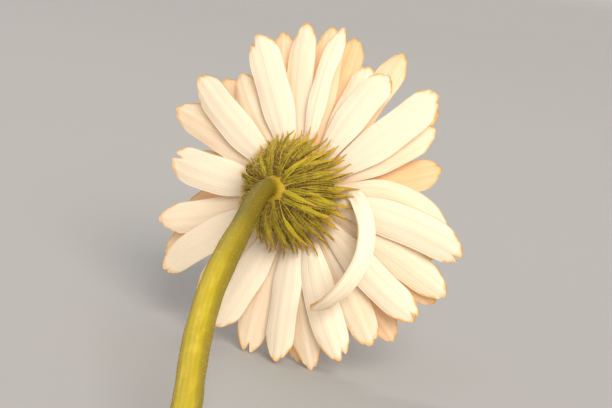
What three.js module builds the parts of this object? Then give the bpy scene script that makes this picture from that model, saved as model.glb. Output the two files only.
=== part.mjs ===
// A picked fleabane flower, lying on a table: the cut stem lies down and the head stands on its lowest rays.
// Millimetres, +Z up. The flower faces away along +Y, and the stem comes forward along -Y.
// The head is built in a frame of its own, seen from behind:
// x to the right, y up, z along its axis to the stem.
import * as THREE from "three";
import { mergeVertices } from "three/addons/utils/BufferGeometryUtils.js";

// Driving dimensions of the head, in the head's frame.
const RAY_ROOT = 6.1; // radius at which the rays leave the receptacle
const RAY_THICKNESS = 0.32;
const RAY_CAMBER = 0.17; // how far a ray's margins fall below its middle, as a share of its half breadth
const RAY_BOW = 0.5; // how far the rays arch back between root and tip
const DECK_DROP = 0.65; // step between the decks that the rays leave from, from the outer row to the inner
const DECK_SLOPES = [6, 10, 14, 19]; // degrees that each deck leans towards the face
const BOWL_RADIUS = 5.4; // receptacle
const BOWL_DEPTH = 8.2;
const POLE = 7.9; // where the stem meets the receptacle
const CROWN = -2.9; // the receptacle's face, under the disc florets
const DISC_RADIUS = 6.5;
const DISC_INNER_RADIUS = 3.5;
const DISC_CROWN = -5.5;
const BRACT_THICKNESS = 0.28;
const SEAT_GAP = 0.3; // clearance where two pieces meet

// The head's place: its axis points back to the stem, turned to the left and tipped up a little.
const AXIS_TURN = 29; // degrees from -Y towards -X
const AXIS_RISE = 10; // degrees above the table
const HEAD_SPIN = 8; // degrees that the head is turned about its own axis
const STEM_RADIUS_TOP = 1.3;
const STEM_RADIUS_CUT = 1.7;
const STEM_SWELL = 0.16; // share of the stem's length over which it thickens

const COLOURS = {
  ray: 0xf6e2c2,
  stray: 0xfaecd6,
  bract: 0x8d8a26,
  receptacle: 0x9c9a34,
  disc: 0xd9a21c,
  stem: 0xa3921a,
};

// Each ray as [tip direction, reach, breadth, sweep]: directions in degrees anticlockwise from the right, as seen
// from behind, reach from the axis to the tip, and sweep the degrees that it bends sideways on the way out.
const DECKS = [
  [ // the outer row, nearest to the bracts
    [116, 26.1, 5.4, 3], [83, 25.0, 3.0, -3], [57, 21.3, 4.8, -3], [39, 24.8, 5.4, 4],
    [345, 26.2, 5.4, -6], [320, 25.2, 4.8, 2], [289, 24.5, 5.2, 2], [264, 24.5, 4.9, -2],
    [237, 24.2, 5.2, -2], [208, 26.8, 4.9, 3], [170, 24.4, 5.6, -3], [141, 26.8, 5.2, -2],
  ],
  [
    [99, 26.0, 4.6, -3], [69, 20.7, 4.6, 4], [349, 22.6, 4.2, -18], [331, 25.6, 4.9, -3],
    [300, 23.7, 4.8, -3], [275, 25.2, 4.6, 2], [250, 25.2, 5.2, 2], [223, 24.0, 4.8, 3],
    [191, 26.8, 4.8, -3], [155, 28.6, 5.0, 3], [129, 22.6, 4.6, -3], [30, 21.6, 4.4, 3],
  ],
  [
    [111, 26.2, 4.8, -2], [92, 25.5, 4.9, 2], [63, 24.5, 4.8, 3], [28, 19.4, 2.2, 2],
    [326, 24.2, 4.6, -3], [306, 24.2, 4.6, -1], [268, 24.3, 4.6, 2], [235, 23.0, 4.8, 2],
    [201, 28.2, 4.8, 3], [168, 22.4, 4.6, -3], [138, 25.1, 4.8, 2], [286, 22.2, 4.5, -1],
  ],
  [ // the inner row, next to the disc
    [16, 19.6, 4.5, 3], [39, 21.8, 4.6, -3], [85, 24.3, 4.6, 2], [108, 22.4, 4.6, 3],
    [132, 21.4, 4.6, -3], [155, 22.4, 4.6, 2], [186, 24.0, 4.8, -2], [215, 22.6, 4.6, 2],
    [247, 22.0, 4.6, -2], [272, 21.4, 4.6, 2], [314, 23.0, 5.0, -2], [343, 21.2, 4.6, 3],
  ],
];
// One ray has curled back over the underside: its midline in the head's frame.
const STRAY_ROUTE = [
  [6.1, 0.9, 0], [8.9, 0.7, 0.1], [11.2, -1.8, 1.5], [12.9, -5.2, 3],
  [13.1, -8.6, 4.2], [11.6, -12, 4.8], [9, -14.6, 4.6], [5.9, -16.4, 3.7],
];
const STRAY_BREADTH = 4.2;
const STRAY_TWIST = 52; // degrees that it has turned towards its edge by the time it stands clear

// The stem's centreline from below the head to the cut end:
// places are measured from the head, heights from the table.
const STEM_ROUTE = [
  [-5.7, -10.8, 25.7], [-7.1, -17.2, 22.5], [-8.3, -24.3, 19.9], [-9.3, -33, 16.9],
  [-9.6, -42.5, 14], [-9.4, -51, 12], [-8.9, -61.5, 9.8], [-9.4, -77, 6.5],
  [-11.4, -92, 3.6], [-14.2, -106, 2], [-17.6, -122, STEM_RADIUS_CUT],
];

// The involucre's three rows of bracts, as the profile that a bract's midline follows: [radius, height].
const BRACT_ROWS = [
  { name: "bracts_inner", count: 24, profile: [[3.9, 6.2], [5.9, 4.3], [6.2, 0.9], [9.2, 0.65]] },
  { name: "bracts_middle", count: 21, profile: [[3.3, 7.3], [6.2, 6.0], [6.9, 2.4], [8.7, 1.5]] },
  { name: "bracts_outer", count: 17, profile: [[2.1, 8.25], [5.8, 8.0], [7.4, 4.2], [8.1, 2.4]] },
];

function smooth(x) {
  const c = Math.min(Math.max(x, 0), 1);
  return c * c * (3 - 2 * c);
}

const radians = THREE.MathUtils.degToRad;

// A closed body lofted through loops of equally many points, with a flat fan over each end.
function loft(loops) {
  const around = loops[0].length;
  const points = loops.flat();
  const faces = [];
  for (let row = 0; row + 1 < loops.length; row++) {
    for (let i = 0; i < around; i++) {
      const a = row * around + i;
      const b = row * around + ((i + 1) % around);
      faces.push(a, b, b + around, a, b + around, a + around);
    }
  }
  const last = (loops.length - 1) * around;
  for (let i = 1; i + 1 < around; i++) {
    faces.push(0, i + 1, i);
    faces.push(last, last + i, last + i + 1);
  }
  return geometryOf(points, faces);
}

function geometryOf(points, faces) {
  const geometry = new THREE.BufferGeometry().setFromPoints(points);
  geometry.setIndex(faces);
  geometry.computeVertexNormals();
  return geometry;
}

function material(colour, roughness) {
  return new THREE.MeshStandardMaterial({ color: colour, roughness, metalness: 0 });
}

function piece(name, geometry, finish) {
  const mesh = new THREE.Mesh(geometry, finish);
  mesh.name = name;
  return mesh;
}

// Half the breadth of a ray as a share of its widest: a narrow claw, a broad blade and a blunt tip.
function rayOutline(s) {
  const claw = 0.36 + 0.64 * smooth(s / 0.56);
  const tip = Math.sqrt(1 - Math.pow(Math.max(s - 0.6, 0) / 0.412, 2.6));
  return claw * tip;
}

// The lens-shaped cross-section of a ray: margins are sharp, and the middle is bowed towards the back.
function raySection(middle, across, outward, halfBreadth) {
  const section = [[-1, 0], [-0.45, -1], [0.45, -1], [1, 0], [0.45, 1], [-0.45, 1]];
  return section.map(([t, side]) => {
    const height = (side * RAY_THICKNESS * (1 - t * t)) / 2 - RAY_CAMBER * halfBreadth * t * t;
    return middle.clone().addScaledVector(across, t * halfBreadth).addScaledVector(outward, height);
  });
}

const RAY_STATIONS = [0, 0.14, 0.3, 0.48, 0.66, 0.82, 0.94, 1];

// A ray's midline, in polar form: it bends sideways and leans forward with its deck.
function rayPoint(deck, [direction, reach, , sweep], s) {
  const radius = RAY_ROOT + (reach - RAY_ROOT) * s;
  const turn = radians(direction - sweep + sweep * s * s);
  const lean = Math.tan(radians(DECK_SLOPES[deck])) * (radius - RAY_ROOT);
  const height = -DECK_DROP * deck - lean + RAY_BOW * 4 * s * (1 - s);
  return new THREE.Vector3(radius * Math.cos(turn), radius * Math.sin(turn), height);
}

function rayGeometry(deck, ray) {
  const step = 0.01;
  const loops = RAY_STATIONS.map((s) => {
    const middle = rayPoint(deck, ray, s);
    const along = rayPoint(deck, ray, s + step).sub(rayPoint(deck, ray, s - step)).normalize();
    const across = new THREE.Vector3(-along.y, along.x, 0).normalize();
    const outward = along.clone().cross(across);
    return raySection(middle, across, outward, (ray[2] / 2) * rayOutline(s));
  });
  return loft(loops);
}

// The curled ray leaves flat with the others and then stands on edge as it comes back over them.
function strayGeometry() {
  const route = new THREE.CatmullRomCurve3(STRAY_ROUTE.map((p) => new THREE.Vector3(...p)));
  const stations = [0, 0.1, 0.2, 0.3, 0.42, 0.55, 0.68, 0.8, 0.9, 0.97, 1];
  const loops = stations.map((s) => {
    const middle = route.getPointAt(s);
    const along = route.getTangentAt(s);
    const flat = new THREE.Vector3(-along.y, along.x, 0).normalize();
    const twist = -radians(STRAY_TWIST) * smooth(s / 0.42);
    const across = flat.applyAxisAngle(along, twist);
    const outward = along.clone().cross(across);
    return raySection(middle, across, outward, (STRAY_BREADTH / 2) * rayOutline(s));
  });
  return loft(loops);
}

// A body turned about the head's axis from a profile of [radius, height] that starts and ends on the axis
// or closes on itself.
function turned(profile, around) {
  const lathe = new THREE.LatheGeometry(profile.map(([r, z]) => new THREE.Vector2(r, z)), around);
  lathe.rotateX(Math.PI / 2); // the lathe's axis is +y, and the head's is +z
  lathe.deleteAttribute("normal");
  lathe.deleteAttribute("uv");
  const merged = mergeVertices(lathe, 1e-4);
  merged.computeVertexNormals();
  return merged;
}

function receptacleGeometry() {
  const profile = [[0, CROWN], [BOWL_RADIUS - 0.5, CROWN + 0.15], [BOWL_RADIUS, CROWN + 0.6]];
  for (const height of [0, 2, 3.8, 5.4, 6.6, 7.4]) {
    profile.push([BOWL_RADIUS * Math.sqrt(1 - (height / BOWL_DEPTH) ** 2), height]);
  }
  profile.push([STEM_RADIUS_TOP, POLE], [0, POLE]);
  return turned(profile, 28);
}

function discInnerGeometry() {
  const floor = CROWN - SEAT_GAP;
  const profile = [
    [0, DISC_CROWN],
    [1.4, DISC_CROWN + 0.05],
    [2.7, DISC_CROWN + 0.3],
    [DISC_INNER_RADIUS, DISC_CROWN + 0.7],
    [DISC_INNER_RADIUS, floor],
    [0, floor],
  ];
  return turned(profile, 28);
}

function discOuterGeometry() {
  const floor = CROWN - SEAT_GAP;
  const inner = DISC_INNER_RADIUS + SEAT_GAP;
  const profile = [
    [inner, floor],
    [inner, DISC_CROWN + 0.5],
    [4.9, DISC_CROWN + 0.75],
    [6, DISC_CROWN + 1.3],
    [DISC_RADIUS, floor - 0.35],
    [6.2, floor],
    [inner, floor],
  ];
  return turned(profile, 28);
}

// One row of bracts, joined at their bases as they are on the plant:
// a shell whose far edge runs out in points.
function bractRowGeometry({ count, profile }) {
  const [base, c1, c2, tip] = profile.map(([r, z]) => new THREE.Vector2(r, z));
  const meridian = new THREE.CubicBezierCurve(base, c1, c2, tip);
  // how far up the profile the shell reaches: notch, shoulder, point, shoulder
  const ends = [0.42, 0.8, 1, 0.8];
  const rows = [0, 0.4, 0.75, 1];
  const columns = count * ends.length;
  const sides = [-1, 1].map((side) => {
    const points = [];
    for (let column = 0; column < columns; column++) {
      const turn = (column / columns) * 2 * Math.PI;
      for (const row of rows) {
        const v = row * ends[column % ends.length];
        const at = meridian.getPoint(v);
        const along = meridian.getTangent(v);
        const radius = at.x + (side * along.y * -BRACT_THICKNESS) / 2;
        const height = at.y + (side * along.x * BRACT_THICKNESS) / 2;
        points.push(new THREE.Vector3(radius * Math.cos(turn), radius * Math.sin(turn), height));
      }
    }
    return points;
  });
  const inner = (column, row) => (column % columns) * rows.length + row;
  const outer = (column, row) => inner(column, row) + columns * rows.length;
  const faces = [];
  const quad = (a, b, c, d) => faces.push(a, b, c, a, c, d);
  for (let column = 0; column < columns; column++) {
    const next = column + 1;
    for (let row = 0; row + 1 < rows.length; row++) {
      quad(outer(column, row), outer(column, row + 1), outer(next, row + 1), outer(next, row));
      quad(inner(column, row), inner(next, row), inner(next, row + 1), inner(column, row + 1));
    }
    const edge = rows.length - 1;
    quad(outer(column, 0), outer(next, 0), inner(next, 0), inner(column, 0));
    quad(outer(column, edge), inner(column, edge), inner(next, edge), outer(next, edge));
  }
  return geometryOf(sides.flat(), faces);
}

// The stem: a round section carried along its route without twisting, thicker at the cut.
function stemGeometry(start, direction) {
  const lead = start.clone().addScaledVector(direction, 1.6);
  const rest = STEM_ROUTE.map((place) => new THREE.Vector3(...place));
  const route = new THREE.CatmullRomCurve3([start, lead, ...rest], false, "centripetal");
  const steps = 34;
  const sides = 12;
  const frames = route.computeFrenetFrames(steps, false);
  const loops = [];
  for (let i = 0; i <= steps; i++) {
    const middle = route.getPointAt(i / steps);
    const radius = THREE.MathUtils.lerp(STEM_RADIUS_TOP, STEM_RADIUS_CUT, smooth(i / steps / STEM_SWELL));
    loops.push(Array.from({ length: sides }, (_, k) => {
      const turn = (k / sides) * 2 * Math.PI;
      return middle.clone()
        .addScaledVector(frames.normals[i], radius * Math.cos(turn))
        .addScaledVector(frames.binormals[i], radius * Math.sin(turn));
    }));
  }
  return loft(loops);
}

function buildHead() {
  const head = new THREE.Group();
  const rayFinish = material(COLOURS.ray, 0.6);
  const bractFinish = material(COLOURS.bract, 0.75);
  const discFinish = material(COLOURS.disc, 0.8);
  head.add(piece("receptacle", receptacleGeometry(), material(COLOURS.receptacle, 0.7)));
  for (const row of BRACT_ROWS) head.add(piece(row.name, bractRowGeometry(row), bractFinish));
  head.add(piece("disc_florets_inner", discInnerGeometry(), discFinish));
  head.add(piece("disc_florets_outer", discOuterGeometry(), discFinish));
  let number = 0;
  DECKS.forEach((rays, deck) => rays.forEach((ray) => {
    number += 1;
    head.add(piece("ray_" + String(number).padStart(2, "0"), rayGeometry(deck, ray), rayFinish));
  }));
  head.add(piece("ray_curled", strayGeometry(), material(COLOURS.stray, 0.6)));
  return head;
}

const turn = radians(AXIS_TURN);
const rise = radians(AXIS_RISE);
const axis = new THREE.Vector3(
  -Math.sin(turn) * Math.cos(rise),
  -Math.cos(turn) * Math.cos(rise),
  Math.sin(rise),
);
const right = new THREE.Vector3(0, 0, 1).cross(axis).normalize();
const head = buildHead();
head.quaternion.setFromRotationMatrix(new THREE.Matrix4().makeBasis(right, axis.clone().cross(right), axis));
head.rotateZ(radians(HEAD_SPIN));
head.updateMatrixWorld(true);
head.position.z = -new THREE.Box3().setFromObject(head, true).min.z; // the lowest rays touch the table

const pole = head.position.clone().addScaledVector(axis, POLE + SEAT_GAP);
const flower = new THREE.Group();
flower.add(head, piece("stem", stemGeometry(pole, axis), material(COLOURS.stem, 0.6)));

// The origin is on the table, under the middle of the flower's box.
const box = new THREE.Box3().setFromObject(flower, true);
flower.position.set(-(box.min.x + box.max.x) / 2, -(box.min.y + box.max.y) / 2, -box.min.z);
const part = new THREE.Group();
part.add(flower);
export default part;
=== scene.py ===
"""A picked fleabane flower, lying on a table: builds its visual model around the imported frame."""
import math
import random

import bpy
import numpy as np
from bpy.props import FloatProperty, FloatVectorProperty, IntProperty, PointerProperty
from mathutils import Matrix, Vector


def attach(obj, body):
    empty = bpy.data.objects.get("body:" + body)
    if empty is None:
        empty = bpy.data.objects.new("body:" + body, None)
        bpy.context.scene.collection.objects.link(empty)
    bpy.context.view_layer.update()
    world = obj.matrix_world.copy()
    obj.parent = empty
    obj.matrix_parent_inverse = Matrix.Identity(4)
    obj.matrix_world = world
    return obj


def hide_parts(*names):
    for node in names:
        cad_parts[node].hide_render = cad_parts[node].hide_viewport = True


bl_info = {
    "name": "Fleabane Flower",
    "version": (1, 0, 0),
    "blender": (4, 5, 0),
    "location": "3D View > Sidebar > Flower",
    "description": "A picked flower with cream rays, a downy bract cup, a yellow disc and a bent stem",
    "category": "Object",
}

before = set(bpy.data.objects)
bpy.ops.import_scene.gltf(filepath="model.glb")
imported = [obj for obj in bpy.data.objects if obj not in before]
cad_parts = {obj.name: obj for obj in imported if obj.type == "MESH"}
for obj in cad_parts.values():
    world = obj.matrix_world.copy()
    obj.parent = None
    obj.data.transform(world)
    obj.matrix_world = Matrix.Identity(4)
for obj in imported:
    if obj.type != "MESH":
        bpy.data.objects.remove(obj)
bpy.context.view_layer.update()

# The head's frame is in millimetres: x to the right as seen from behind, y up, z along its axis to the stem.
MM = 0.001
AXIS_TURN = 29
AXIS_RISE = 10
HEAD_SPIN = 8
POLE = 7.9
RAY_ROOT = 6.1
RAY_INSET = 0.75
RAY_BOW = 0.5
RAY_CAMBER = 0.17
DECK_DROP = 0.65
DECK_SLOPES = (6, 10, 14, 19)
DISC_FLOOR = -2.9
BOWL_RADIUS = 5.4
BOWL_DEPTH = 8.2

# Each ray as (tip direction, reach, breadth, sweep), row by row from the bracts to the disc.
DECKS = (
    (
        (116, 26.1, 5.4, 3), (83, 25.0, 3.0, -3), (57, 21.3, 4.8, -3), (39, 24.8, 5.4, 4),
        (345, 26.2, 5.4, -6), (320, 25.2, 4.8, 2), (289, 24.5, 5.2, 2), (264, 24.5, 4.9, -2),
        (237, 24.2, 5.2, -2), (208, 26.8, 4.9, 3), (170, 24.4, 5.6, -3), (141, 26.8, 5.2, -2),
    ),
    (
        (99, 26.0, 4.6, -3), (69, 20.7, 4.6, 4), (349, 22.6, 4.2, -18), (331, 25.6, 4.9, -3),
        (300, 23.7, 4.8, -3), (275, 25.2, 4.6, 2), (250, 25.2, 5.2, 2), (223, 24.0, 4.8, 3),
        (191, 26.8, 4.8, -3), (155, 28.6, 5.0, 3), (129, 22.6, 4.6, -3), (30, 21.6, 4.4, 3),
    ),
    (
        (111, 26.2, 4.8, -2), (92, 25.5, 4.9, 2), (63, 24.5, 4.8, 3), (28, 19.4, 2.2, 2),
        (326, 24.2, 4.6, -3), (306, 24.2, 4.6, -1), (268, 24.3, 4.6, 2), (235, 23.0, 4.8, 2),
        (201, 28.2, 4.8, 3), (168, 22.4, 4.6, -3), (138, 25.1, 4.8, 2), (286, 22.2, 4.5, -1),
    ),
    (
        (16, 19.6, 4.5, 3), (39, 21.8, 4.6, -3), (85, 24.3, 4.6, 2), (108, 22.4, 4.6, 3),
        (132, 21.4, 4.6, -3), (155, 22.4, 4.6, 2), (186, 24.0, 4.8, -2), (215, 22.6, 4.6, 2),
        (247, 22.0, 4.6, -2), (272, 21.4, 4.6, 2), (314, 23.0, 5.0, -2), (343, 21.2, 4.6, 3),
    ),
)
# Rays with a deep cleft at the tip, as (place across the blade, depth as a share of the length).
CLEFTS = {
    1: (0.42, 0.07),
    5: (-0.3, 0.05),
    6: (0.1, 0.06),
    7: (0.35, 0.06),
    9: (-0.3, 0.07),
    11: (-0.25, 0.1),
    19: (0.1, 0.08),
}
CURLED_ROUTE = (
    (5.2, 0.8, 0), (6.1, 0.9, 0), (8.6, 0.5, 0.1), (10.9, -1.9, 1.5), (12.5, -5.2, 3), (12.7, -8.6, 4.2),
    (11.2, -12, 4.8), (8.6, -14.6, 4.6), (5.6, -16.3, 3.7),
)
CURLED_BREADTH = 3.3
CURLED_TWIST = 52

GOLDEN_ANGLE = 2.399963

# The stem's centreline: places are measured from the head's middle, heights from the table.
STEM_ROUTE = (
    (-5.7, -10.8, 25.7), (-7.1, -17.2, 22.5), (-8.3, -24.3, 19.9), (-9.3, -33, 16.9), (-9.6, -42.5, 14),
    (-9.4, -51, 12), (-8.9, -61.5, 9.8), (-9.4, -77, 6.5), (-11.4, -92, 3.6), (-14.2, -106, 2),
    (-17.6, -122, 1.7),
)
STEM_RADIUS_TOP = 1.3
STEM_RADIUS_CUT = 1.7

# Disc florets from the foot up, as (radius, depth, what stands there).
BUD = [(0.03, 0, ""), (0.2, 0.2, ""), (0.29, 1.0, ""), (0.33, 1.5, ""), (0.22, 1.85, ""), (0.03, 1.95, "")]
OPEN_FLORET = [
    (0.03, 0, ""), (0.17, 0.2, ""), (0.2, 1.0, ""), (0.31, 1.75, ""), (0.46, 2.1, "mouth"), (0.24, 1.9, ""),
    (0.03, 1.7, ""),
]

# Rows of bracts: the piece, the node that it stands for, how many, half their breadth, and their midline as
# (radius, height).
BRACT_ROWS = (
    ("bract_row_inner", "bracts_inner", 34, 0.5, ((3.9, 6.2), (5.9, 4.3), (6.2, 0.9), (9.4, 0.7))),
    ("bract_row_middle", "bracts_middle", 34, 0.52, ((3.3, 7.2), (6.2, 6.0), (6.9, 2.4), (8.9, 1.7))),
    ("bract_row_outer", "bracts_outer", 30, 0.5, ((1.7, 8.0), (5.8, 8.0), (7.5, 4.4), (8.4, 2.7))),
    ("bract_row_crown", None, 20, 0.4, ((1.6, 8.0), (3.9, 8.7), (5.9, 7.6), (6.9, 5.6))),
)


def smooth(x):
    """An even ramp from 0 to 1."""
    c = np.clip(x, 0, 1)
    return c * c * (3 - 2 * c)


def unit(v):
    return v / np.maximum(np.linalg.norm(v, axis=-1, keepdims=True), 1e-9)


def head_matrix():
    """Takes the head's frame, in millimetres, to the row's, in metres."""
    turn, rise = math.radians(AXIS_TURN), math.radians(AXIS_RISE)
    axis = Vector((-math.sin(turn) * math.cos(rise), -math.cos(turn) * math.cos(rise), math.sin(rise)))
    right = Vector((0, 0, 1)).cross(axis).normalized()
    basis = Matrix((right, axis.cross(right), axis)).transposed().to_4x4()
    cup = {tuple(round(x, 6) for x in v.co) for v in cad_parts["receptacle"].data.vertices}
    middle = sum((Vector(c) for c in cup), Vector()) / len(cup)
    pole = max(Vector(c).dot(axis) for c in cup)
    origin = middle + axis * (pole - POLE * MM - middle.dot(axis))
    spin = Matrix.Rotation(math.radians(HEAD_SPIN), 4, "Z")
    return Matrix.Translation(origin) @ basis @ spin @ Matrix.Scale(MM, 4)


HEAD = head_matrix()


def route(points, count):
    """Evenly spaced places and directions along the smooth curve through the points."""
    p = np.array(points, float)
    p = np.vstack([2 * p[0] - p[1], p, 2 * p[-1] - p[-2]])
    fine = []
    for a, b, c, d in zip(p, p[1:], p[2:], p[3:]):
        ka, kb, kc, kd = np.cumsum([0] + [np.linalg.norm(v) ** 0.5 for v in (b - a, c - b, d - c)])
        u = np.linspace(kb, kc, 40, endpoint=False)[:, None]
        ab = (a * (kb - u) + b * (u - ka)) / (kb - ka)
        bc = (b * (kc - u) + c * (u - kb)) / (kc - kb)
        cd = (c * (kd - u) + d * (u - kc)) / (kd - kc)
        abc = (ab * (kc - u) + bc * (u - ka)) / (kc - ka)
        bcd = (bc * (kd - u) + cd * (u - kb)) / (kd - kb)
        fine.append((abc * (kc - u) + bcd * (u - kb)) / (kc - kb))
    fine = np.vstack([*fine, p[-2]])
    run = np.concatenate([[0], np.cumsum(np.linalg.norm(np.diff(fine, axis=0), axis=1))])
    at = np.linspace(0, run[-1], count)
    places = np.column_stack([np.interp(at, run, fine[:, k]) for k in range(3)])
    return places, unit(np.gradient(places, axis=0))


def new_piece(name, points, faces, materials, uv=None, place=HEAD, attributes=None):
    """A mesh object whose place is in its mesh.

    uv holds one pair for each point, or for each corner of the faces.
    """
    mesh = bpy.data.meshes.new(name)
    mesh.from_pydata(np.asarray(points, float).reshape(-1, 3).tolist(), [], faces)
    mesh.transform(place)
    mesh.validate()
    if uv is not None:
        layer = mesh.uv_layers.new(name="blade")
        corners = np.zeros(len(mesh.loops), int)
        mesh.loops.foreach_get("vertex_index", corners)
        uv = np.asarray(uv, float)
        layer.data.foreach_set("uv", (uv if len(uv) == len(corners) else uv[corners]).ravel())
    for key, value in (attributes or {}).items():
        values = np.broadcast_to(np.asarray(value, np.float32), len(mesh.vertices)).copy()
        mesh.attributes.new(key, "FLOAT", "POINT").data.foreach_set("value", values)
    for material in materials:
        mesh.materials.append(material)
    mesh.polygons.foreach_set("use_smooth", [True] * len(mesh.polygons))
    made = bpy.data.objects.new(name, mesh)
    bpy.context.scene.collection.objects.link(made)
    return made


def settle(piece, slot, *nodes):
    """Hangs a finished piece on the root body and hides the nodes that it stands for."""
    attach(piece, "root")
    if nodes:
        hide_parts(*nodes)
    return piece


def grid_faces(rows, columns, first=0, flip=False, wrap=False):
    """Quads over a grid of points, row by row."""
    faces = []
    for i in range(rows - 1):
        for j in range(columns if wrap else columns - 1):
            k = (j + 1) % columns
            near, far = first + i * columns, first + (i + 1) * columns
            quad = [near + j, near + k, far + k, far + j]
            faces.append(quad[::-1] if flip else quad)
    return faces


def blade(middle, thickness, across, along):
    """A closed thin blade around a grid of points, with its uv, as thick at each point as the thickness given
    for it.
    """
    rows, columns = middle.shape[:2]
    normal = unit(np.cross(np.gradient(middle, axis=1), np.gradient(middle, axis=0)))
    half = 0.5 * (thickness * np.ones((rows, columns)))[..., None]
    points = np.concatenate([(middle - normal * half).reshape(-1, 3), (middle + normal * half).reshape(-1, 3)])
    count = rows * columns
    faces = grid_faces(rows, columns) + grid_faces(rows, columns, count, flip=True)
    rim = [i * columns for i in range(rows)]
    rim += [(rows - 1) * columns + j for j in range(1, columns)]
    rim += [i * columns + columns - 1 for i in range(rows - 2, -1, -1)]
    rim += [j for j in range(columns - 2, 0, -1)]
    for a, b in zip(rim, rim[1:] + rim[:1]):
        faces.append([b, a, a + count, b + count])
    uv = np.stack(np.broadcast_arrays(across, along), -1).reshape(-1, 2)
    return points, faces, np.concatenate([uv, uv])


def facing_out(points, faces):
    """The faces, turned round if the closed surface they make is inside out."""
    p = np.asarray(points, float).reshape(-1, 3)
    p = p - p.mean(0)
    volume = sum(np.dot(p[f[0]], np.cross(p[f[k]], p[f[k + 1]])) for f in faces for k in range(1, len(f) - 1))
    return faces if volume > 0 else [f[::-1] for f in faces]


class Socket:
    """A node's output. Arithmetic on it adds Math nodes to its tree."""

    def __init__(self, graph, output):
        self.graph = graph
        self.output = output

    def math(self, operation, *values):
        return self.graph.add("ShaderNodeMath", {"operation": operation}, *values)

    def __add__(self, other):
        return self.math("ADD", self, other)

    def __sub__(self, other):
        return self.math("SUBTRACT", self, other)

    def __rsub__(self, other):
        return self.math("SUBTRACT", other, self)

    def __mul__(self, other):
        return self.math("MULTIPLY", self, other)

    def __truediv__(self, other):
        return self.math("DIVIDE", self, other)

    def __pow__(self, other):
        return self.math("POWER", self, other)

    def __abs__(self):
        return self.math("ABSOLUTE", self)

    __radd__ = __add__
    __rmul__ = __mul__

    def sine(self):
        return self.math("SINE", self)

    def ramp(self, low, high):
        """An even ramp from 0 at low to 1 at high."""
        settings = {"interpolation_type": "SMOOTHSTEP"}
        return self.graph.add("ShaderNodeMapRange", settings, self, low, high, 0.0, 1.0)


class Graph:
    """A node tree being built."""

    def __init__(self, tree):
        self.tree = tree

    def add(self, kind, settings=None, *values, out=0, **named):
        """Any node: its settings first, then its inputs in order or by name. Returns one of its outputs."""
        node = self.tree.nodes.new(kind)
        for key, value in (settings or {}).items():
            setattr(node, key, value)
        for socket, value in zip([s for s in node.inputs if s.enabled], values):
            self.feed(socket, value)
        for name, value in named.items():
            self.feed(self.find(node.inputs, name.replace("_", " ")), value)
        outputs = [s for s in node.outputs if s.enabled]
        return Socket(self, outputs[out] if isinstance(out, int) else self.find(node.outputs, out))

    def find(self, sockets, name):
        return next(s for s in sockets if s.enabled and s.name == name)

    def feed(self, socket, value):
        if isinstance(value, Socket):
            self.tree.links.new(value.output, socket)
        elif value is not None:
            socket.default_value = (*value, 1) if socket.type == "RGBA" and len(value) == 3 else value


class Finish(Graph):
    """A material being built."""

    def __init__(self, name):
        self.material = bpy.data.materials.new(name)
        self.material.use_nodes = True
        super().__init__(self.material.node_tree)
        self.tree.nodes.clear()

    def blade(self):
        """How far across and how far along the piece a point is, from 0 to 1."""
        uv = self.add("ShaderNodeUVMap", {"uv_map": "blade"})
        across = self.add("ShaderNodeSeparateXYZ", None, uv)
        along = self.add("ShaderNodeSeparateXYZ", None, uv, out=1)
        return across, along

    def attribute(self, name):
        return self.add("ShaderNodeAttribute", {"attribute_name": name}, out="Fac")

    def noise(self, scale, detail=3.0, stretch=(1, 1, 1)):
        """Noise over the object's own coordinates, from 0 to 1. Scale is in features to the metre."""
        place = self.add("ShaderNodeTexCoord", None, out="Object")
        place = self.add("ShaderNodeMapping", None, Vector=place, Scale=stretch)
        return self.add("ShaderNodeTexNoise", None, Vector=place, Scale=scale, Detail=detail)

    def streaks(self, across, along, lines, waves, shift):
        """Lengthwise streaks over a blade, from 0 to 1, different on every blade by its shift."""
        place = self.add("ShaderNodeCombineXYZ", None, across * lines, along * waves, shift * 37.0)
        return self.add("ShaderNodeTexNoise", None, Vector=place, Scale=1.0, Detail=2.5)

    def mix(self, factor, a, b):
        return self.add("ShaderNodeMix", {"data_type": "RGBA"}, Factor=factor, A=a, B=b)

    def shade(self, colour, roughness, height=None, depth=0.0, translucent=0.0, glow=(1, 1, 1), **constants):
        """Ends the material: a principled surface, with light coming through it if it is thin."""
        normal = None
        if height is not None:
            normal = self.add("ShaderNodeBump", None, Strength=1.0, Distance=depth, Height=height)
        surface = self.add(
            "ShaderNodeBsdfPrincipled", None, Base_Color=colour, Roughness=roughness, Normal=normal, **constants
        )
        if translucent:
            through = self.add("ShaderNodeBsdfTranslucent", None, Color=glow, Normal=normal)
            surface = self.add("ShaderNodeMixShader", None, translucent, surface, through)
        output = self.tree.nodes.new("ShaderNodeOutputMaterial")
        self.tree.links.new(surface.output, output.inputs["Surface"])
        return self.material


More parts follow.
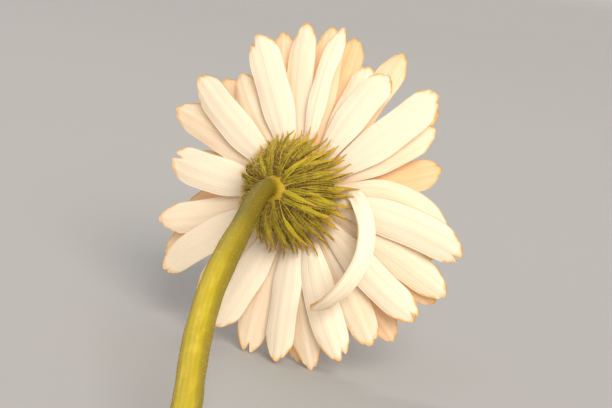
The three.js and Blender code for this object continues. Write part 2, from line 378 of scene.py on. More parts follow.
class Steps(Graph):
    """A geometry node tree being built, with named inputs."""

    def __init__(self, name, **inputs):
        super().__init__(bpy.data.node_groups.new(name, "GeometryNodeTree"))
        face = self.tree.interface
        face.new_socket("Geometry", in_out="INPUT", socket_type="NodeSocketGeometry")
        for key, kind in inputs.items():
            face.new_socket(key.replace("_", " "), in_out="INPUT", socket_type="NodeSocket" + kind)
        face.new_socket("Geometry", in_out="OUTPUT", socket_type="NodeSocketGeometry")
        self.group_in = self.tree.nodes.new("NodeGroupInput")

    def given(self, name):
        return Socket(self, self.find(self.group_in.outputs, name))

    def random(self, low, high, shift):
        """A random number for each element, from the tree's seed and a shift of its own."""
        seed = self.given("Seed") + shift
        return self.add("FunctionNodeRandomValue", {"data_type": "FLOAT"}, low, high, Seed=seed)

    def copies(self, points, instance, rotation, scale):
        """A copy of a shape at each point."""
        where = {"Points": points, "Instance": instance, "Rotation": rotation, "Scale": scale}
        return self.add("GeometryNodeInstanceOnPoints", None, **where)

    def tinted(self, instances, tint):
        """Copies that each carry a number of their own, which the finish reads as tint."""
        settings = {"data_type": "FLOAT", "domain": "INSTANCE"}
        named = {"Geometry": instances, "Name": "tint", "Value": tint}
        return self.add("GeometryNodeStoreNamedAttribute", settings, **named)

    def end(self, geometry):
        """Ends the tree with real geometry in the tree's material."""
        real = self.add("GeometryNodeRealizeInstances", None, geometry)
        coated = self.add("GeometryNodeSetMaterial", None, Geometry=real, Material=self.given("Material"))
        output = self.tree.nodes.new("NodeGroupOutput")
        self.tree.links.new(coated.output, output.inputs[0])
        return self.tree


def run_steps(name, source, tree, place=HEAD, **inputs):
    """Runs a tree on a source object and returns the result as a plain mesh object. The source is used up."""
    modifier = source.modifiers.new("steps", "NODES")
    modifier.node_group = tree
    for item in tree.interface.items_tree:
        key = item.name.replace(" ", "_")
        if item.in_out == "INPUT" and key in inputs:
            modifier[item.identifier] = inputs[key]
    graph = bpy.context.evaluated_depsgraph_get()
    mesh = bpy.data.meshes.new_from_object(source.evaluated_get(graph), depsgraph=graph)
    source.modifiers.clear()
    bpy.data.objects.remove(source)
    mesh.transform(place)
    mesh.name = name
    mesh.polygons.foreach_set("use_smooth", [True] * len(mesh.polygons))
    made = bpy.data.objects.new(name, mesh)
    bpy.context.scene.collection.objects.link(made)
    return made


# ---------------------------------------------------------------- finishes


def ray_finish(colours):
    """Cream petal tissue: painted shade in peach on the inner rows, on the rays' backs and towards the root,
    gold along the tip, with fine lengthwise veins.
    """
    f = Finish("ray_petal")
    across, along = f.blade()
    painted_row_shade = f.attribute("row")
    tint = f.attribute("tint")
    side = abs(across - 0.5) * 2.0
    cloud = f.noise(220.0, 3.0)
    streak = f.streaks(across, along, 11.0, 1.1, tint)
    veins = (across * 88.0 + streak * 2.4).sine() * 0.5 + 0.5
    broad = (across * 18.8).sine() * 0.5 + 0.5
    # Painted shade: the inner rows, the rays' backs and the part near the root are painted towards peach; tint,
    # cloud and streak add the petal's own uneven tone.
    depth = painted_row_shade * 0.95 + tint * 0.14 + (cloud - 0.5) * 0.4 + (streak - 0.5) * 0.7
    root = 1.0 - along.ramp(0.0, 0.3)
    base = f.mix((depth + root * 0.3).ramp(0.08, 1.35), colours.ray_cream, colours.ray_peach)
    base = f.mix(veins * along.ramp(0.0, 0.3) * 0.045, base, colours.ray_peach)
    base = f.mix((1.0 - along.ramp(0.0, 0.16)) * 0.45, base, colours.ray_claw)
    speckle = f.noise(900.0, 2.0)
    edge = (along + side * side * 0.02 + (speckle - 0.5) * 0.035).ramp(0.955, 1.015)
    margin = (side + (cloud - 0.5) * 0.1).ramp(0.95, 1.03) * along.ramp(0.5, 0.95) * 0.55
    gilt = edge.math("MAXIMUM", edge, margin) * (speckle.ramp(0.3, 0.55) * 0.6 + 0.4)
    base = f.mix(gilt, base, colours.ray_tip)
    height = veins * 0.22 + broad * 0.45 + streak * 0.7 + speckle * 0.12
    glow = (*colours.ray_glow, 1)
    roughness = 0.5 + speckle * 0.12
    return f.shade(base, roughness, height, 0.00007, translucent=0.34, glow=glow, Specular_IOR_Level=0.2)


def bract_finish(colours):
    """Olive bracts with a pale midrib and margins and a golden point, over their own dark patches, with painted
    shade darkening them towards the base.
    """
    f = Finish("bract_leaf")
    across, along = f.blade()
    tint = f.attribute("tint")
    side = abs(across - 0.5) * 2.0
    cloud = f.noise(700.0, 4.0)
    fine = f.noise(3200.0, 2.0)
    streak = f.streaks(across, along, 5.0, 1.6, tint)
    # Painted shade: the bracts darken towards their base, where the rows overlap; cloud, streak and tint give
    # their own uneven patches.
    pale = (cloud * 0.5 + streak * 0.5 + (tint - 0.5) * 0.6 + along * 0.3).ramp(0.4, 0.85)
    base = f.mix(pale, colours.bract_dark, colours.bract_green)
    base = f.mix((1.0 - side.ramp(0.0, 0.3)) * along.ramp(0.0, 0.5) * 0.4, base, colours.bract_pale)
    base = f.mix(side.ramp(0.62, 1.0) * 0.6, base, colours.bract_pale)
    point = (along + (cloud - 0.5) * 0.2 + (tint - 0.5) * 0.2).ramp(0.6, 0.98)
    base = f.mix(point * 0.9, base, colours.bract_point)
    height = (side * 9.4).sine() * 0.35 + fine * 0.5 + streak * 0.6
    glow = (0.66, 0.50, 0.03, 1)
    return f.shade(base, 0.7 + fine * 0.2, height, 0.0001, translucent=0.16, glow=glow, Specular_IOR_Level=0.15)


def down_finish(name, colour):
    """Fine pale hairs."""
    f = Finish(name)
    strand = f.noise(900.0, 1.0)
    tone = f.mix(strand.ramp(0.3, 0.7), colour, tuple(min(1.0, c * 1.5 + 0.05) for c in colour))
    return f.shade(tone, 0.5 + strand * 0.1, translucent=0.35, glow=(0.9, 0.72, 0.4, 1))


def cup_finish(colours):
    """Olive skin under the bracts."""
    f = Finish("cup_skin")
    cloud = f.noise(500.0, 4.0)
    fine = f.noise(3000.0, 2.0)
    base = f.mix(cloud.ramp(0.3, 0.7), colours.bract_dark, colours.bract_green)
    return f.shade(base, 0.7 + fine * 0.15, cloud + fine * 0.4, 0.00015)


def stem_finish(colours):
    """Olive stem: dark under the head, brighter lower down, ribbed lengthwise, with painted shade on its flanks
    and in its grooves, and pale streaks and a lighter top band that are partly painted highlight.
    """
    f = Finish("stem_skin")
    around, along = f.blade()
    cloud = f.noise(160.0, 4.0)
    streak = f.noise(1100.0, 3.0, stretch=(1.0, 0.1, 1.0))
    fine = f.noise(4200.0, 2.0)
    ribs = (around * (2.0 * math.pi * 16.0) + cloud * 1.5).sine() * 0.5 + 0.5
    base = f.mix((along + (cloud - 0.5) * 0.1).ramp(0.03, 0.26), colours.stem_dark, colours.stem_olive)
    # Pale streaks lower down: partly the stem's own streaks, partly a painted highlight.
    base = f.mix(streak.ramp(0.45, 0.75) * along.ramp(0.05, 0.4) * 0.45, base, colours.stem_bright)
    # Painted shade in the grooves between the ribs.
    base = f.mix((1.0 - ribs) * 0.12, base, colours.stem_dark)
    # Painted shade: the stem's two flanks, at the sides of its round, are darkened as if the light did not
    # reach them.
    turn = around * (2.0 * math.pi) + (cloud - 0.5) * 0.5
    flank = abs(f.add("ShaderNodeMath", {"operation": "COSINE"}, turn))
    base = f.mix(flank.ramp(0.5, 1.0) * 0.6, base, colours.stem_dark)
    # A lighter band at the top where the stem flares into the head: partly its own paler skin, partly a painted
    # highlight.
    base = f.mix((1.0 - (along + (cloud - 0.5) * 0.012).ramp(0.006, 0.026)) * 0.85, base, colours.collar)
    height = ribs * 0.3 + fine * 0.25 + streak * 0.4
    return f.shade(base, 0.42 + fine * 0.2, height, 0.00008, Specular_IOR_Level=0.22)


def cut_finish(colours):
    """The cut across the stem: a green rind, a ring of darker strands and a pale wet pith."""
    f = Finish("stem_cut_face")
    around, out = f.blade()
    cloud = f.noise(1800.0, 4.0)
    place = f.add("ShaderNodeTexCoord", None, out="Object")
    cells = f.add("ShaderNodeTexVoronoi", None, Vector=place, Scale=5200.0)
    ring = out.ramp(0.55, 0.68) * (1.0 - out.ramp(0.74, 0.86))
    strands = (around * (2.0 * math.pi * 11.0)).sine().ramp(0.1, 0.9) * ring
    base = f.mix(cloud.ramp(0.3, 0.7), colours.pith, (0.66, 0.62, 0.34))
    base = f.mix(strands * 0.8, base, colours.stem_dark)
    base = f.mix(out.ramp(0.82, 0.97), base, colours.stem_olive)
    return f.shade(base, 0.35 + cloud * 0.25, cells + cloud * 0.5, 0.0001, Specular_IOR_Level=0.5)


def floret_finish(colours):
    """Golden disc florets: greener in the tube and orange at the lobes."""
    f = Finish("disc_floret_skin")
    across, along = f.blade()
    tint = f.attribute("tint")
    cloud = f.noise(1500.0, 3.0)
    base = f.mix((along + (tint - 0.5) * 0.4).ramp(0.1, 0.75), colours.disc_green, colours.disc_yellow)
    base = f.mix((cloud * 0.5 + tint * 0.5).ramp(0.3, 0.9) * along * 0.7, base, colours.disc_orange)
    return f.shade(base, 0.5 + cloud * 0.2, cloud, 0.00006, translucent=0.12, glow=(0.9, 0.6, 0.1, 1))


def floor_finish(colours):
    """Matt pale paint, very slightly uneven."""
    f = Finish("table_paint")
    cloud = f.noise(9.0, 3.0)
    grain = f.noise(700.0, 2.0)
    base = f.mix(cloud, colours.floor, tuple(c * 0.97 for c in colours.floor))
    return f.shade(base, 0.75 + grain * 0.1, grain, 0.00002)


# ---------------------------------------------------------------- pieces


def blade_ends(across, rng, blunt, cleft):
    """Where each lengthwise line of a ray ends: a rounded tip with small teeth between shallow notches."""
    end = 1.0 - blunt * np.abs(across) ** 2.3
    notches = [(place + rng.uniform(-0.08, 0.08), rng.uniform(0, 0.024)) for place in (-0.34, 0.34)]
    if cleft:
        notches = [cleft, (-cleft[0] * 0.9, 0.012)]
    for place, depth in notches:
        end -= depth * np.exp(-(((across - place) / 0.13) ** 2))
    return end


def ray_breadth(s):
    """Half a ray's breadth along it, as a share of its widest."""
    return (0.5 + 0.5 * smooth((s + 0.06) / 0.5)) * (1 - 0.2 * smooth((s - 0.74) / 0.26))


def ray_relief(across, s, half, rng):
    """How far a ray's surface stands off its midline: bowed at the margins, with two folds and a wavy edge."""
    camber = RAY_CAMBER * rng.uniform(0.5, 1.25)
    folds = sum(np.exp(-(((across - place) / 0.13) ** 2)) for place in (-0.34, 0.34))
    crease = np.exp(-((across / 0.1) ** 2))
    wave = np.sin(s * rng.uniform(9, 15) + rng.uniform(0, 6)) * np.abs(across) ** 3 * np.sign(across + 0.001)
    level = -camber * half * across**2 - 0.03 * folds * smooth(s / 0.25) + 0.03 * crease * smooth(s / 0.3)
    return level + 0.1 * wave * smooth(s / 0.4)


def ray_points(deck, ray, number, sizes):
    direction, reach, breadth, sweep = ray
    rng = random.Random(41 * number)
    across = np.linspace(-1, 1, sizes.ray_lines)[None, :]
    inset = RAY_INSET / (reach - RAY_ROOT)
    end = blade_ends(across, rng, rng.uniform(0.11, 0.17), CLEFTS.get(number))
    v = np.linspace(0, 1, sizes.ray_stations)[:, None]
    s = -inset + v * (end + inset)
    half = breadth / 2 * ray_breadth(s)
    radius = RAY_ROOT + (reach - RAY_ROOT) * s
    turn = np.radians(direction - sweep + sweep * s * np.abs(s))
    slope = math.tan(math.radians(DECK_SLOPES[deck]))
    tip_curl = rng.uniform(-0.35, 0.75) * smooth((s - 0.55) / 0.45) ** 1.5
    height = -DECK_DROP * deck - slope * (radius - RAY_ROOT) + RAY_BOW * 4 * s * (1 - s) - tip_curl
    along = np.stack([np.cos(turn), np.sin(turn), np.zeros_like(turn)], -1)
    side = np.stack([-np.sin(turn), np.cos(turn), np.zeros_like(turn)], -1)
    roll = math.radians(rng.uniform(-6, 6)) * smooth(s / 0.6)
    offset = across * half
    middle = along * radius[..., None] + side * (offset * np.cos(roll))[..., None]
    middle[..., 2] += height + offset * np.sin(roll) + ray_relief(across, s, half, rng)
    thickness = sizes.ray_thickness / MM * (1 - 0.55 * np.abs(across) ** 3)
    thickness = thickness * (1 - 0.35 * smooth((v - 0.8) / 0.2))
    return blade(middle, thickness, (across + 1) / 2, v)


def curled_points(sizes):
    rng = random.Random(7)
    across = np.linspace(-1, 1, sizes.ray_lines)[None, :]
    stations = sizes.ray_stations * 2
    v = np.linspace(0, 1, stations)[:, None]
    places, ways = route(CURLED_ROUTE, stations)
    end = blade_ends(across, rng, 0.09, None)
    s = v * end
    rows = np.clip(s * (stations - 1), 0, stations - 1)
    middle, along = (
        np.stack([np.interp(rows, np.arange(stations), table[:, k]) for k in range(3)], -1)
        for table in (places, ways)
    )
    along = unit(along)
    flat = unit(np.stack([-along[..., 1], along[..., 0], np.zeros(along.shape[:2])], -1))
    twist = -np.radians(CURLED_TWIST) * smooth(s / 0.42)[..., None]
    side = flat * np.cos(twist) + np.cross(along, flat) * np.sin(twist)
    off = np.cross(along, side)
    half = CURLED_BREADTH / 2 * ray_breadth(s)
    # its left margin is rolled over into a rim
    rim = smooth((-across - 0.45) / 0.55) * smooth(s / 0.2)
    lift = ray_relief(across, s, half, rng) + 0.55 * half * rim
    middle = middle + side * (across * half * (1 - 0.16 * rim))[..., None] + off * lift[..., None]
    return blade(middle, sizes.ray_thickness / MM * (1 - 0.4 * np.abs(across) ** 3), (across + 1) / 2, v)


def bract_points(breadth, midline):
    """One bract on the +x side: a keeled lance-shaped blade along its row's midline."""
    base, c1, c2, tip = (np.array(p, float) for p in midline)
    rows, columns = 15, 7
    v = np.linspace(0, 1, rows)[:, None, None]
    line = base * (1 - v) ** 3 + c1 * 3 * v * (1 - v) ** 2 + c2 * 3 * v**2 * (1 - v) + tip * v**3
    slope = unit(np.gradient(line, axis=0))
    across = np.linspace(-1, 1, columns)[None, :, None]
    taper = np.clip(1 - v**2.1, 0.004, 1) ** 0.8
    half = breadth * (0.75 + 0.25 * np.sin(np.pi * np.clip(v * 1.5, 0, 1))) * taper
    keel = 0.55 * half * (1 - np.abs(across) ** 1.5) - 0.2 * half
    radius = line[..., :1] - slope[..., 1:] * keel
    height = line[..., 1:] + slope[..., :1] * keel
    level = np.ones_like(across)
    middle = np.concatenate([radius * level, across * half, height * level], -1)
    return blade(middle, 0.22 * (1 - 0.6 * v[..., 0]), (across[..., 0] + 1) / 2, v[..., 0])


def hair_source(name, sizes):
    """One hair: a bent three-sided spike along +z."""
    radius = sizes.hair_thickness / MM / 2
    rings = turned_rings([(radius, 0), (radius * 0.7, 0.5), (radius * 0.25, 1.0)], 3)
    rings[..., 0] += np.array([0, 0.05, 0.2])[:, None]
    points, faces, _ = ring_tube(rings, (0, 0.5, 1))
    return new_piece(name, points, faces, [], place=Matrix.Identity(4))


def bract_row_steps():
    """Bracts in a ring: each strays a little from its even place, and the whole row drifts a little."""
    g = Steps("Bract row", Count="Int", Jitter="Float", Lean="Float", Seed="Int", Material="Material")
    points = g.add("GeometryNodeMeshLine", None, Count=g.given("Count"), Offset=(0, 0, 0))
    index = g.add("GeometryNodeInputIndex")
    jitter, lean = g.given("Jitter"), g.given("Lean")
    turn = (index + g.random(-1.0, 1.0, 1) * jitter) * (2 * math.pi) / g.given("Count")
    roll, pitch = g.random(-1.0, 1.0, 2) * lean, g.random(-1.0, 1.0, 3) * lean
    spin = g.add("ShaderNodeCombineXYZ", None, roll, pitch, turn)
    row = g.copies(points, g.given("Geometry"), spin, g.random(0.94, 1.05, 4))
    row = g.add("GeometryNodeRealizeInstances", None, g.tinted(row, g.random(0.0, 1.0, 5)))
    place = g.add("GeometryNodeInputPosition")
    drift = g.add("ShaderNodeTexNoise", None, Vector=place, Scale=0.45, Detail=1.0, out="Color")
    drift = g.add("ShaderNodeVectorMath", {"operation": "SUBTRACT"}, drift, (0.5, 0.5, 0.5))
    drift = g.add("ShaderNodeVectorMath", {"operation": "SCALE"}, drift, Scale=0.55)
    return g.end(g.add("GeometryNodeSetPosition", None, Geometry=row, Offset=drift))


def down_steps():
    """Hairs scattered over a surface, each leaning its own way."""
    sockets = {"Hair": "Object", "Density": "Float", "Length": "Float", "Lean": "Float", "Seed": "Int"}
    g = Steps("Down", **sockets, Material="Material")
    spread = {"Mesh": g.given("Geometry"), "Density": g.given("Density"), "Seed": g.given("Seed")}
    cover = g.add("GeometryNodeDistributePointsOnFaces", None, **spread)
    stand = Socket(g, g.find(cover.output.node.outputs, "Rotation"))
    lean = g.given("Lean")
    roll, pitch = g.random(-1.0, 1.0, 1) * lean, g.random(-1.0, 1.0, 2) * lean
    tilt = g.add("ShaderNodeCombineXYZ", None, roll, pitch, g.random(-3.1, 3.1, 3))
    stand = g.add("FunctionNodeRotateRotation", {"rotation_space": "LOCAL"}, stand, tilt)
    length = g.given("Length") * g.random(0.45, 1.25, 4)
    size = g.add("ShaderNodeCombineXYZ", None, 1.0, 1.0, length)
    hair = g.add("GeometryNodeObjectInfo", None, Object=g.given("Hair"), out="Geometry")
    return g.end(g.copies(cover, hair, stand, size))


def disc_steps():
    """Florets in a spiral: each one turns by the golden angle and stands a little further out."""
    numbers = dict.fromkeys(("First", "Count", "Total"), "Int")
    lengths = dict.fromkeys(("Radius", "Floor", "Rise", "Lean"), "Float")
    g = Steps("Disc florets", **numbers, **lengths, Seed="Int", Material="Material")
    points = g.add("GeometryNodeMeshLine", None, Count=g.given("Count"), Offset=(0, 0, 0))
    index = g.add("GeometryNodeInputIndex") + g.given("First")
    share = ((index + 0.5) / g.given("Total")) ** 0.5
    turn = index * GOLDEN_ANGLE + g.random(-0.05, 0.05, 1)
    radius = share * g.given("Radius")
    x = radius * turn.math("COSINE", turn)
    y = radius * turn.sine()
    z = g.given("Floor") + share * share * g.given("Rise") + g.random(-0.12, 0.12, 2)
    place = g.add("ShaderNodeCombineXYZ", None, x, y, z)
    points = g.add("GeometryNodeSetPosition", None, Geometry=points, Position=place)
    spin = g.add("ShaderNodeCombineXYZ", None, g.random(-0.1, 0.1, 3), share * g.given("Lean"), turn)
    florets = g.copies(points, g.given("Geometry"), spin, g.random(0.88, 1.12, 4))
    return g.end(g.tinted(florets, g.random(0.0, 1.0, 5)))


def ring_tube(rings, along):
    """A closed tube through rings of points, with a uv for each corner: round it, and along it."""
    rows, around = rings.shape[:2]
    faces, uv = [], []
    for i in range(rows - 1):
        for j in range(around):
            k = (j + 1) % around
            faces.append([i * around + j, i * around + k, (i + 1) * around + k, (i + 1) * around + j])
            low, high = along[i], along[i + 1]
            uv += [(j / around, low), ((j + 1) / around, low), ((j + 1) / around, high), (j / around, high)]
    for end, order in ((0, -1), (rows - 1, 1)):
        faces.append([end * around + j for j in range(around)][::order])
        uv += [(j / around, along[end]) for j in range(around)][::order]
    return rings.reshape(-1, 3), faces, uv


def turned_rings(profile, around):
    """Rings about z from a profile of (radius, height)."""
    turn = np.linspace(0, 2 * np.pi, around, endpoint=False)
    ring = np.stack([np.cos(turn), np.sin(turn)], -1)
    return np.array([np.column_stack([r * ring, np.full(around, z)]) for r, z in profile])


def floret_source(name, profile, around, star=0.0):
    """A disc floret that points along -z; with star, every other point of its mouth spreads into a lobe."""
    rings = turned_rings([(radius, -depth) for radius, depth, _ in profile], around)
    mouth = [i for i, step in enumerate(profile) if step[2] == "mouth"]
    for i in mouth:
        lobes = np.where(np.arange(around) % 2 == 0, 1 + star, 1 - star * 0.45)
        rings[i, :, :2] *= lobes[:, None]
        rings[i, :, 2] -= np.where(np.arange(around) % 2 == 0, 0.16, -0.05)
    along = np.array([step[1] for step in profile]) / 2.2
    points, faces, uv = ring_tube(rings, along)
    faces = [face[::-1] for face in faces]
    starts = np.cumsum([0] + [len(face) for face in faces])
    uv = [corner for a, b in zip(starts, starts[1:]) for corner in uv[a:b][::-1]]
    return new_piece(name, points, faces, [], uv, place=Matrix.Identity(4))


def length(name, description, value, **limits):
    """A length that a user may change."""
    return FloatProperty(name=name, description=description, default=value, unit="LENGTH", **limits)


class FlowerSizes(bpy.types.PropertyGroup):
    """Sizes of the flower's fine parts."""

    ray_thickness: length("Ray Thickness", "Thickness of a ray along its middle", 0.00026, min=0.00005)
    ray_stations: IntProperty(name="Ray Stations", description="Steps along a ray", default=52, min=8)
    ray_lines: IntProperty(name="Ray Lines", description="Lengthwise lines across a ray", default=33, min=5)
    hair_thickness: length("Hair Thickness", "Thickness of a hair at its root", 0.00004, min=0.00001)
    bract_hair_length: length("Bract Hair Length", "Usual length of the hairs on the bracts", 0.0008)
    bract_hair_density: FloatProperty(
        name="Bract Hair Density", description="Hairs to the square millimetre of bract", default=9.0, min=0.0
    )
    stem_hair_length: length("Stem Hair Length", "Usual length of the down on the stem", 0.0003)
    stem_hair_density: FloatProperty(
        name="Stem Hair Density", description="Hairs to the square millimetre of stem", default=1.6, min=0.0
    )
    bract_jitter: FloatProperty(
        name="Bract Jitter", description="How far a bract strays from its even place, as a share of the step", default=0.28
    )
    bract_lean: FloatProperty(
        name="Bract Lean", description="How far a bract leans off its row", default=0.06, subtype="ANGLE"
    )
    florets: IntProperty(name="Florets", description="Disc florets in the whole disc", default=190, min=20)
    buds: IntProperty(name="Buds", description="Disc florets that are still in bud", default=62, min=1)
    disc_radius: length("Disc Radius", "Radius of the disc", 0.0062)


def tone(name, description, value):
    """A colour that a user may change."""
    return FloatVectorProperty(
        name=name, description=description, default=value, size=3, min=0, max=1, subtype="COLOR"
    )


class FlowerColours(bpy.types.PropertyGroup):
    """Colours of the flower's finishes."""

    ray_cream: tone("Ray Cream", "Blade of an outer ray", (0.98, 0.905, 0.74))
    # Ray peach is painted shade on the inner rows, on the rays' backs and near the root, and also the petal's
    # own peach in its veins and patches.
    ray_peach: tone("Ray Peach", "Shaded and inner parts of the rays", (0.95, 0.55, 0.29))
    ray_claw: tone("Ray Claw", "Narrow foot of a ray", (0.92, 0.74, 0.36))
    ray_tip: tone("Ray Tip", "Gold along a ray's tip", (0.86, 0.47, 0.10))
    ray_glow: tone("Ray Glow", "Light that comes through a ray", (0.99, 0.80, 0.52))
    bract_green: tone("Bract Green", "Flank of a bract", (0.46, 0.37, 0.012))
    bract_dark: tone("Bract Dark", "Shaded flank of a bract", (0.10, 0.058, 0.003))
    bract_pale: tone("Bract Pale", "Midrib and margin of a bract", (0.76, 0.56, 0.07))
    bract_point: tone("Bract Point", "Golden point of a bract", (0.85, 0.48, 0.07))
    down: tone("Down", "Hairs on the bracts", (0.66, 0.48, 0.12))
    stem_olive: tone("Stem Olive", "Lower stem", (0.46, 0.345, 0.008))
    # Stem dark also serves as painted shade on the stem's flanks and in its grooves.
    stem_dark: tone("Stem Dark", "Stem under the head", (0.14, 0.098, 0.003))
    # Stem bright is partly the stem's own pale streaks and partly a painted highlight.
    stem_bright: tone("Stem Bright", "Pale streaks on the stem", (0.74, 0.54, 0.05))
    # Collar is partly the flared top's own paler skin and partly a painted highlight.
    collar: tone("Collar", "Where the stem meets the head", (0.56, 0.36, 0.03))
    pith: tone("Pith", "Middle of the cut stem", (0.74, 0.72, 0.42))
    disc_yellow: tone("Disc Yellow", "Mouth of a disc floret", (0.93, 0.66, 0.05))
    disc_orange: tone("Disc Orange", "Lobes of a disc floret", (0.90, 0.45, 0.03))
    disc_green: tone("Disc Green", "Tube of a disc floret", (0.55, 0.50, 0.06))
    floor: tone("Floor", "The table", (0.37, 0.362, 0.355))


def finish_of(name, make, *given):
    """A finish by its name, made the first time that it is asked for."""
    return bpy.data.materials.get(name) or make(*given)


class FlowerOperator:
    """What the flower's operators share."""

    bl_options = {"REGISTER", "UNDO"}

    @property
    def sizes(self):
        return bpy.context.scene.flower_sizes

    @property
    def colours(self):
        return bpy.context.scene.flower_colours


class FLOWER_OT_stage(FlowerOperator, bpy.types.Operator):
    """Makes the pale floor, the soft lights and the camera behind the head"""

    bl_idname = "flower.stage"
    bl_label = "Stage"

    def execute(self, context):
        scene = context.scene
        scene.view_settings.view_transform = "Standard"
        scene.world = bpy.data.worlds.new("studio")
        scene.world.use_nodes = True
        sky = scene.world.node_tree.nodes["Background"]
        sky.inputs["Color"].default_value = (1.0, 0.975, 0.94, 1)
        sky.inputs["Strength"].default_value = 0.70
        for name, toward, strength, softness in (
            ("key", (0.22, -0.83, 0.50), 3.6, 30),
            ("back", (-0.35, 0.75, 0.56), 2.0, 40),
        ):
            light = bpy.data.lights.new(name, "SUN")
            light.energy = strength
            light.angle = math.radians(softness)
            light.color = (1.0, 0.965, 0.90)
            lamp = bpy.data.objects.new(name, light)
            lamp.rotation_euler = Vector(toward).to_track_quat("Z", "Y").to_euler()
            scene.collection.objects.link(lamp)
        self.make_floor()
        self.make_camera(scene)
        return {"FINISHED"}

    def make_floor(self):
        """A flat floor that sweeps up into a wall far behind."""
        bend, sweep = 0.6, [(-2.0, 0.0), (1.6, 0.0)]
        for k in range(1, 17):
            turn = math.pi / 2 * k / 16
            sweep.append((1.6 + bend * math.sin(turn), bend - bend * math.cos(turn)))
        sweep.append((2.2, 2.2))
        points = [(x, y, z) for y, z in sweep for x in (-2.6, 2.6)]
        finish = finish_of("table_paint", floor_finish, self.colours)
        faces = grid_faces(len(sweep), 2, flip=True)
        floor = new_piece("floor", points, faces, [finish], place=Matrix.Identity(4))

    def make_camera(self, scene):
        """Low behind the head and rolled a little, so that the stem leaves at the foot of the frame."""
        lift, roll, distance = math.radians(10), math.radians(8), 0.24
        back = Vector((0, -math.cos(lift), math.sin(lift)))
        level = Vector((0, math.sin(lift), math.cos(lift)))
        right = Vector((math.cos(roll), 0, 0)) + level * math.sin(roll)
        up = level * math.cos(roll) - Vector((math.sin(roll), 0, 0))
        data = bpy.data.cameras.new("camera")
        data.lens = 98
        data.clip_start = 0.01
        camera = bpy.data.objects.new("camera", data)
        camera.location = HEAD.translation + right * 0.0008 - up * 0.0014 + back * distance
        camera.rotation_euler = Matrix((right, up, back)).transposed().to_euler()
        scene.collection.objects.link(camera)
        scene.camera = camera


class FLOWER_OT_stem(FlowerOperator, bpy.types.Operator):
    """Makes the bent stem, its cut end and its down"""

    bl_idname = "flower.stem"
    bl_label = "Stem"

    def execute(self, context):
        points, faces, uv, end, way = self.stem_shape()
        finish = finish_of("stem_skin", stem_finish, self.colours)
        stem = new_piece("stem_tube", points, faces, [finish], uv, place=Matrix.Scale(MM, 4))
        settle(stem, "stem", "stem")
        self.make_cut(end, way)
        source = new_piece("down_source", points, faces, [], place=Matrix.Identity(4))
        hair = hair_source("stem_hair", self.sizes)
        down = run_steps(
            "stem_down",
            source,
            down_steps(),
            place=Matrix.Scale(MM, 4),
            Hair=hair,
            Density=self.sizes.stem_hair_density,
            Length=self.sizes.stem_hair_length / MM,
            Lean=0.75,
            Seed=5,
            Material=finish_of("stem_down_hair", down_finish, "stem_down_hair", self.colours.down),
        )
        bpy.data.objects.remove(hair)
        for vertex in down.data.vertices:
            vertex.co.z = max(vertex.co.z, 0)
        settle(down, "stem")
        return {"FINISHED"}

    def stem_shape(self):
        """The stem in the row's frame, in millimetres."""
        origin = HEAD.translation / MM
        lead = [HEAD @ Vector((0, 0, z)) / MM for z in (7.3, 9.8)]
        line = [tuple(p) for p in lead] + [(origin.x + x, origin.y + y, z) for x, y, z in STEM_ROUTE]
        stations, around = 260, 48
        places, ways = route(line, stations)
        run = np.linspace(0, 1, stations)
        length = np.linalg.norm(np.diff(places, axis=0), axis=1).sum()
        side = np.array((1.0, 0.0, 0.0))
        turn = np.linspace(0, 2 * np.pi, around, endpoint=False)[None, :]
        sides = []
        for way in ways:
            side = unit(side - way * np.dot(side, way))
            sides.append(side)
        sides = np.array(sides)
        ups = np.cross(ways, sides)
        radius = STEM_RADIUS_TOP + (STEM_RADIUS_CUT - STEM_RADIUS_TOP) * smooth(run / 0.16)
        radius = radius + 0.85 * np.exp(-((run * length - 0.6) / 0.75).clip(0) ** 2)
        radius = radius + 0.03 * np.sin(run * 41) + 0.02 * np.sin(run * 97 + 1)
        ribs = 1 + 0.006 * np.cos(16 * turn + 2 * np.sin(run * 9)[:, None])
        ribs = ribs + 0.02 * np.cos(2 * turn + run[:, None] * 4)
        reach = (radius[:, None] * ribs)[..., None]
        spokes = sides[:, None] * np.cos(turn)[..., None] + ups[:, None] * np.sin(turn)[..., None]
        rings = places[:, None] + reach * spokes
        rings[..., 2] = np.maximum(rings[..., 2], 0.0)
        points, faces, uv = ring_tube(rings, run)
        return points, faces, uv, Vector(places[-1]), Vector(ways[-1])

    def make_cut(self, end, way):
        """The cut face: a shallow dish inside a low rim, just proud of the stem's end."""
        r = STEM_RADIUS_CUT
        foot = [(0.01, -0.05), (r * 0.9, -0.05), (r * 0.97, 0.02)]
        profile = [*foot, (r * 0.93, 0.07), (r * 0.8, 0.04), (r * 0.5, 0.0), (0.01, -0.02)]
        rings = turned_rings(profile, 40)
        points, faces, uv = ring_tube(rings, [radius / r for radius, _ in profile])
        facing = way.to_track_quat("Z", "Y").to_matrix().to_4x4()
        place = Matrix.Translation(end * MM) @ facing @ Matrix.Scale(MM, 4)
        finish = finish_of("stem_cut_face", cut_finish, self.colours)
        cut = new_piece("stem_cut", points, faces, [finish], uv, place=place)
        settle(cut, "stem")


class FLOWER_OT_cup(FlowerOperator, bpy.types.Operator):
    """Makes the receptacle under the bracts"""

    bl_idname = "flower.cup"
    bl_label = "Cup"

    def execute(self, context):
        profile = [(0.02, DISC_FLOOR), (4.9, DISC_FLOOR + 0.15), (BOWL_RADIUS, DISC_FLOOR + 0.6)]
        profile += [(BOWL_RADIUS * math.sqrt(1 - (z / BOWL_DEPTH) ** 2), z) for z in np.linspace(0, 7.6, 14)]
        profile += [(1.0, 7.85), (0.02, 7.9)]
        points, faces, uv = ring_tube(turned_rings(profile, 72), [z / POLE for _, z in profile])
        cup = new_piece("flower_cup", points, faces, [finish_of("cup_skin", cup_finish, self.colours)], uv)
        settle(cup, "receptacle", "receptacle")
        return {"FINISHED"}


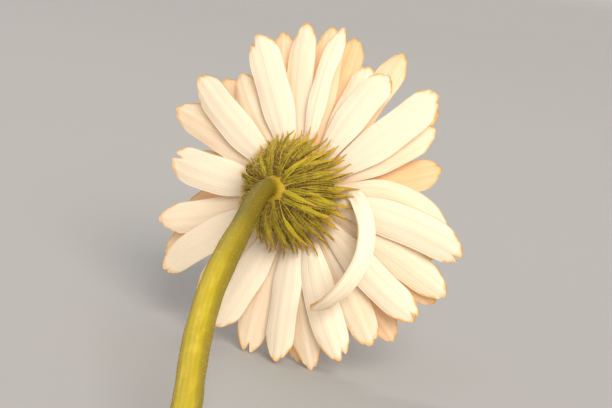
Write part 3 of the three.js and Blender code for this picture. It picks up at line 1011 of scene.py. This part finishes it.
class FLOWER_OT_bracts(FlowerOperator, bpy.types.Operator):
    """Makes the three rows of bracts and the hairs on them"""

    bl_idname = "flower.bracts"
    bl_label = "Bracts"

    def execute(self, context):
        row_steps, hair_steps = bract_row_steps(), down_steps()
        skin = finish_of("bract_leaf", bract_finish, self.colours)
        down = finish_of("bract_down", down_finish, "bract_down", self.colours.down)
        hair = hair_source("bract_hair", self.sizes)
        for seed, (name, node, count, breadth, midline) in enumerate(BRACT_ROWS):
            points, faces, uv = bract_points(breadth, midline)
            faces = facing_out(points, faces)
            source = new_piece("bract_source", points, faces, [], uv, place=Matrix.Identity(4))
            row = run_steps(
                name,
                source,
                row_steps,
                place=Matrix.Identity(4),
                Count=count,
                Jitter=self.sizes.bract_jitter,
                Lean=self.sizes.bract_lean,
                Seed=11 + seed,
                Material=skin,
            )
            copy = bpy.data.objects.new("hair_ground", row.data.copy())
            context.scene.collection.objects.link(copy)
            row.data.transform(HEAD)
            settle(row, "bract", *([node] if node else []))
            hairs = run_steps(
                name + "_hairs",
                copy,
                hair_steps,
                Hair=hair,
                Density=self.sizes.bract_hair_density,
                Length=self.sizes.bract_hair_length / MM,
                Lean=0.6,
                Seed=31 + seed,
                Material=down,
            )
            settle(hairs, "bract")
        bpy.data.objects.remove(hair)
        return {"FINISHED"}


class FLOWER_OT_disc(FlowerOperator, bpy.types.Operator):
    """Makes the disc: buds in the middle and open florets round them"""

    bl_idname = "flower.disc"
    bl_label = "Disc Florets"

    def execute(self, context):
        sizes, steps = self.sizes, disc_steps()
        skin = finish_of("disc_floret_skin", floret_finish, self.colours)
        opened = sizes.florets - sizes.buds
        for name, node, shape, around, star, first, count in (
            ("disc_buds", "disc_florets_inner", BUD, 7, 0.0, 0, sizes.buds),
            ("disc_open_florets", "disc_florets_outer", OPEN_FLORET, 10, 0.32, sizes.buds, opened),
        ):
            source = floret_source("floret_source", shape, around, star)
            disc = run_steps(
                name,
                source,
                steps,
                First=first,
                Count=count,
                Total=sizes.florets,
                Radius=sizes.disc_radius / MM,
                Floor=DISC_FLOOR - 0.35,
                Rise=0.55,
                Lean=-0.42,
                Seed=21,
                Material=skin,
            )
            settle(disc, "disc_floret", node)
        return {"FINISHED"}


class FLOWER_OT_rays(FlowerOperator, bpy.types.Operator):
    """Makes the rays, row by row, and the one that has curled back"""

    bl_idname = "flower.rays"
    bl_label = "Rays"

    def execute(self, context):
        skin = finish_of("ray_petal", ray_finish, self.colours)
        number = 0
        for deck, rays in enumerate(DECKS):
            for ray in rays:
                number += 1
                label = f"{number:02d}"
                points, faces, uv = ray_points(deck, ray, number, self.sizes)
                # Painted shade: the row value grows on the inner rows, is full on each blade's back, the side
                # towards the stem, and three tenths on its face.
                shade = np.repeat((1.0, 0.3), len(points) // 2) * deck / 3
                look = {"row": shade, "tint": random.Random(number).random()}
                faces = facing_out(points, faces)
                petal = new_piece("petal_" + label, points, faces, [skin], uv, attributes=look)
                settle(petal, "ray", "ray_" + label)
        points, faces, uv = curled_points(self.sizes)
        look = {"row": 0.0, "tint": 0.2}
        petal = new_piece("petal_curled", points, facing_out(points, faces), [skin], uv, attributes=look)
        settle(petal, "ray", "ray_curled")
        return {"FINISHED"}


class FLOWER_PT_panel(bpy.types.Panel):
    """Lists the flower's pieces in the sidebar"""

    bl_idname = "FLOWER_PT_panel"
    bl_label = "Fleabane Flower"
    bl_space_type = "VIEW_3D"
    bl_region_type = "UI"
    bl_category = "Flower"

    def draw(self, context):
        for operator in OPERATORS:
            self.layout.operator(operator.bl_idname)
        for group in (context.scene.flower_sizes, context.scene.flower_colours):
            column = self.layout.column()
            for key in group.__annotations__:
                column.prop(group, key)


OPERATORS = (
    FLOWER_OT_stage,
    FLOWER_OT_stem,
    FLOWER_OT_cup,
    FLOWER_OT_bracts,
    FLOWER_OT_disc,
    FLOWER_OT_rays,
)
CLASSES = (FlowerSizes, FlowerColours, *OPERATORS, FLOWER_PT_panel)


def register():
    for entry in CLASSES:
        bpy.utils.register_class(entry)
    bpy.types.Scene.flower_sizes = PointerProperty(type=FlowerSizes)
    bpy.types.Scene.flower_colours = PointerProperty(type=FlowerColours)


def unregister():
    del bpy.types.Scene.flower_colours
    del bpy.types.Scene.flower_sizes
    for entry in reversed(CLASSES):
        bpy.utils.unregister_class(entry)


def main():
    register()
    bpy.ops.flower.stage()
    bpy.ops.flower.stem()
    bpy.ops.flower.cup()
    bpy.ops.flower.bracts()
    bpy.ops.flower.disc()
    bpy.ops.flower.rays()


if __name__ == "__main__":
    main()
